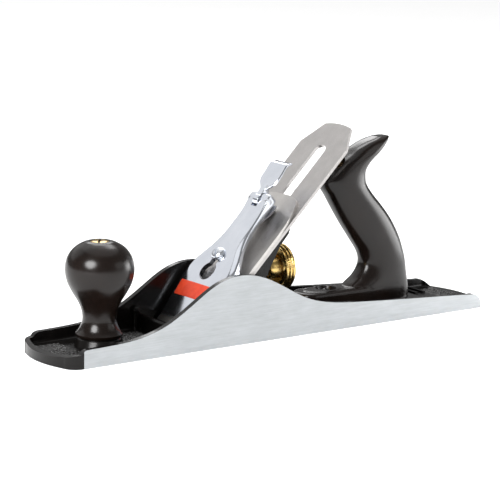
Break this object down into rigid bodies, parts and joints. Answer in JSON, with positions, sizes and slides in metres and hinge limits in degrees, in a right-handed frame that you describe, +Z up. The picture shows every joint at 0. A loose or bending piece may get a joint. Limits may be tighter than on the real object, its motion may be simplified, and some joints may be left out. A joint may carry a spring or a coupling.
{
  "type": "bench hand plane",
  "caption": "Metal bench plane: long ground sole with swept side wings, ball front knob, curved rear handle and a bedded cutting iron under a chrome lever cap.",
  "frame": {"origin": "centre of the sole's rectangle, on the sole face", "axes": "+X from the toe to the heel, +Y to the side away from the viewer, +Z up out of the sole"},
  "size_m": [0.355, 0.0636, 0.1362],
  "materials": {
    "black_japan": "gloss black japan over cast iron, ground sole and sides",
    "black_plastic": "moulded, high gloss, near black",
    "iron_steel": "satin, ground along its length",
    "cap_steel": "satin, slightly warmer",
    "bright_chrome": "polished",
    "polished_brass": "polished, lightly toned",
    "red_enamel": "plain gloss enamel",
    "zinc_steel": "plain fasteners",
    "black_steel": "blackened"
  },
  "bodies": {
    "stock": {"body": "black_japan", "knob": "black_plastic", "knob_bolt": "zinc_steel", "knob_nut": "polished_brass", "tote": "black_plastic", "tote_bolt": "zinc_steel", "tote_nut": "polished_brass", "tote_toe_screw": "black_steel", "frog_screws": "zinc_steel", "frog_washers": "zinc_steel"},
    "frog": {"frog": "black_japan", "frog_adjusting_clip": "zinc_steel", "frog_clip_screws": "zinc_steel", "adjusting_stud": "zinc_steel", "yoke_pin": "zinc_steel", "lateral_pivot": "zinc_steel", "lever_cap_screw": "bright_chrome"},
    "frog_screw": {"frog_adjusting_screw": "zinc_steel"},
    "depth_nut": {"adjusting_nut": "polished_brass"},
    "yoke": {"adjusting_yoke": "black_steel"},
    "lateral_lever": {"lateral_lever": "zinc_steel", "lateral_roller": "zinc_steel"},
    "cap_iron": {"cap_iron": "cap_steel", "cap_iron_screw": "zinc_steel"},
    "cutting_iron": {"cutting_iron": "iron_steel"},
    "lever_cap": {"lever_cap": "bright_chrome", "enamel_band": "red_enamel", "cam_pin": "zinc_steel", "lever_cap_spring": "zinc_steel", "spring_rivet": "zinc_steel"},
    "cam_lever": {"cam_lever": "bright_chrome"}
  },
  "joints": [
    {"name": "frog_slide", "type": "slide", "parent": "stock", "child": "frog", "axis": [-1, 0, 0], "range_m": [-0.0006, 0.0012]},
    {"name": "frog_screw_turn", "type": "hinge", "parent": "frog", "child": "frog_screw", "pos_m": [0.008, 0, 0.017], "axis": [1, 0, 0], "range_deg": [-205, 410]},
    {"name": "depth_nut_turn", "type": "hinge", "parent": "frog", "child": "depth_nut", "pos_m": [0.01, 0, 0.0415], "axis": [1, 0, 0], "range_deg": [-450, 450]},
    {"name": "yoke_swing", "type": "hinge", "parent": "frog", "child": "yoke", "pos_m": [-0.009, 0, 0.054], "axis": [0, 1, 0], "range_deg": [-6.05, 6.05]},
    {"name": "iron_feed", "type": "slide", "parent": "frog", "child": "cap_iron", "axis": [-0.7071, 0, -0.7071], "range_m": [-0.00098, 0.00098]},
    {"name": "lateral_swing", "type": "hinge", "parent": "frog", "child": "lateral_lever", "pos_m": [0.0077, 0, 0.0788], "axis": [-0.7071, 0, 0.7071], "range_deg": [-8, 8]},
    {"name": "iron_tilt", "type": "hinge", "parent": "cap_iron", "child": "cutting_iron", "pos_m": [-0.0641, 0, 0.0071], "axis": [-0.7071, 0, 0.7071], "range_deg": [-0.92, 0.92]},
    {"name": "lever_cap_slide", "type": "slide", "parent": "frog", "child": "lever_cap", "axis": [0.7071, 0, 0.7071], "range_m": [0, 0.0135]},
    {"name": "cam_lever_lift", "type": "hinge", "parent": "lever_cap", "child": "cam_lever", "pos_m": [-0.0047, 0, 0.0891], "axis": [0, -1, 0], "range_deg": [0, 95]}
  ],
  "couplings": [
    {"joint": "frog_screw_turn", "follows": "frog_slide", "rad_per_m": 5938.7},
    {"joint": "depth_nut_turn", "follows": "iron_feed", "rad_per_m": 8013.5},
    {"joint": "yoke_swing", "follows": "iron_feed", "rad_per_m": -107.74},
    {"joint": "iron_tilt", "follows": "lateral_swing", "ratio": -0.1149}
  ]
}
